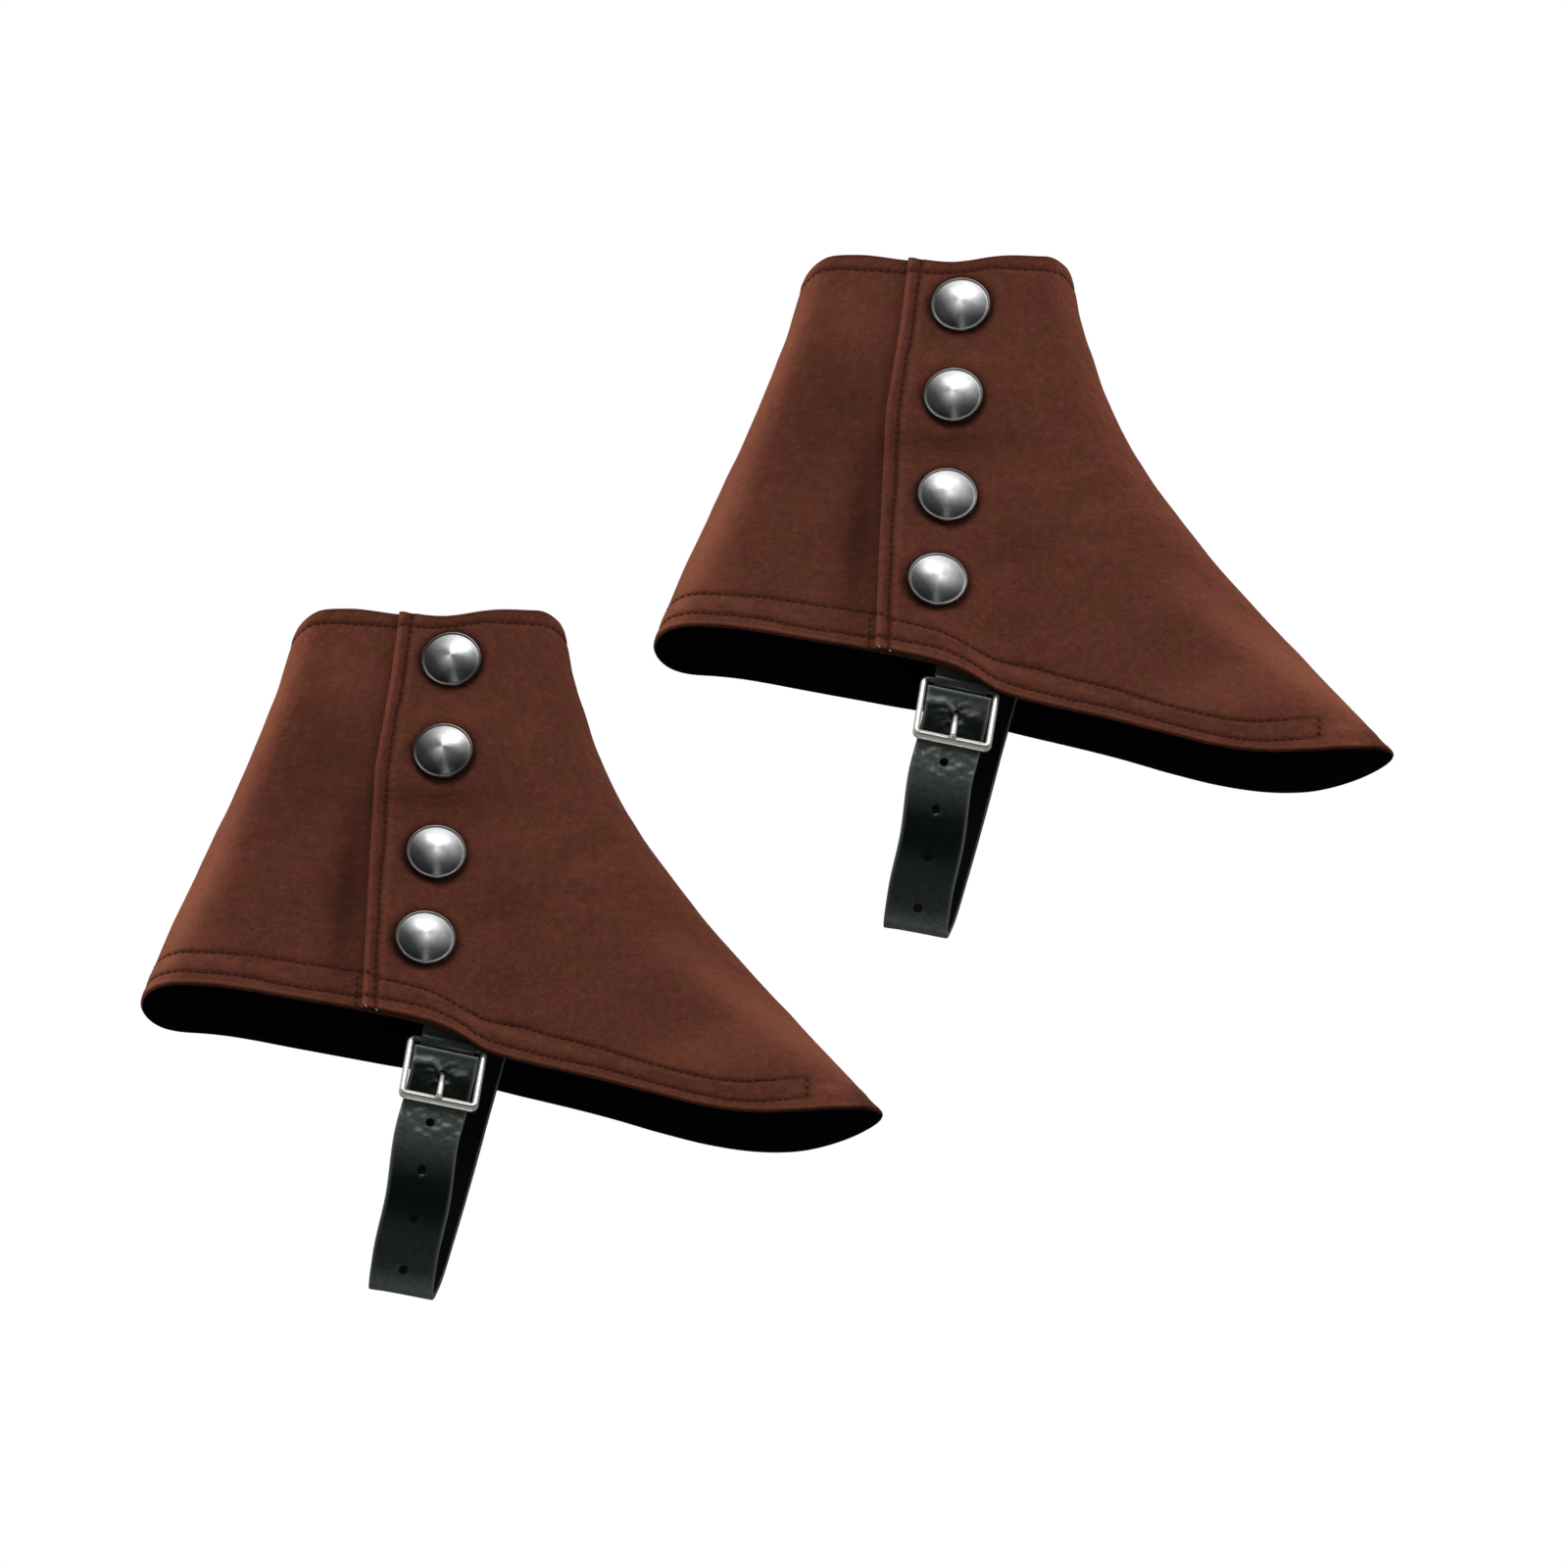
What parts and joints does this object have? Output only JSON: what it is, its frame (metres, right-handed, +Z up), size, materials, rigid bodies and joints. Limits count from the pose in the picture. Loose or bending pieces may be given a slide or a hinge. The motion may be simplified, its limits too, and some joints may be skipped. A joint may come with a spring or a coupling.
{
  "type": "pair of felt boot covers (spats)",
  "caption": "Pair of ankle-high felt boot covers with a flared foot, dome buttons down the outer side and a buckled strap that passes under the boot.",
  "frame": {"origin": "centre of the ankle opening of the first cover, where the wearer's ankle holds it", "axes": "+X to the toe, -Y the outer side with the buttons and the buckle, +Z up"},
  "size_m": [0.4688, 0.0499, 0.423],
  "materials": {
    "felt": "napped wool felt, reddish brown outside and black inside",
    "strap_leather": "glossy black coated leather",
    "dome_metal": "antique silver, spun",
    "nickel": "polished nickel plate"
  },
  "bodies": {
    "root": {"cover1_front_panel": "felt", "cover1_back_panel": "felt", "cover1_inner_panel": "felt", "cover1_button_1": "dome_metal", "cover1_button_2": "dome_metal", "cover1_button_3": "dome_metal", "cover1_button_4": "dome_metal", "cover1_strap": "strap_leather", "cover1_strap_tab": "strap_leather", "cover1_buckle_frame": "nickel", "cover1_buckle_prong": "nickel", "cover2_front_panel": "felt", "cover2_back_panel": "felt", "cover2_inner_panel": "felt", "cover2_button_1": "dome_metal", "cover2_button_2": "dome_metal", "cover2_button_3": "dome_metal", "cover2_button_4": "dome_metal", "cover2_strap": "strap_leather", "cover2_strap_tab": "strap_leather", "cover2_buckle_frame": "nickel", "cover2_buckle_prong": "nickel"}
  },
  "joints": []
}
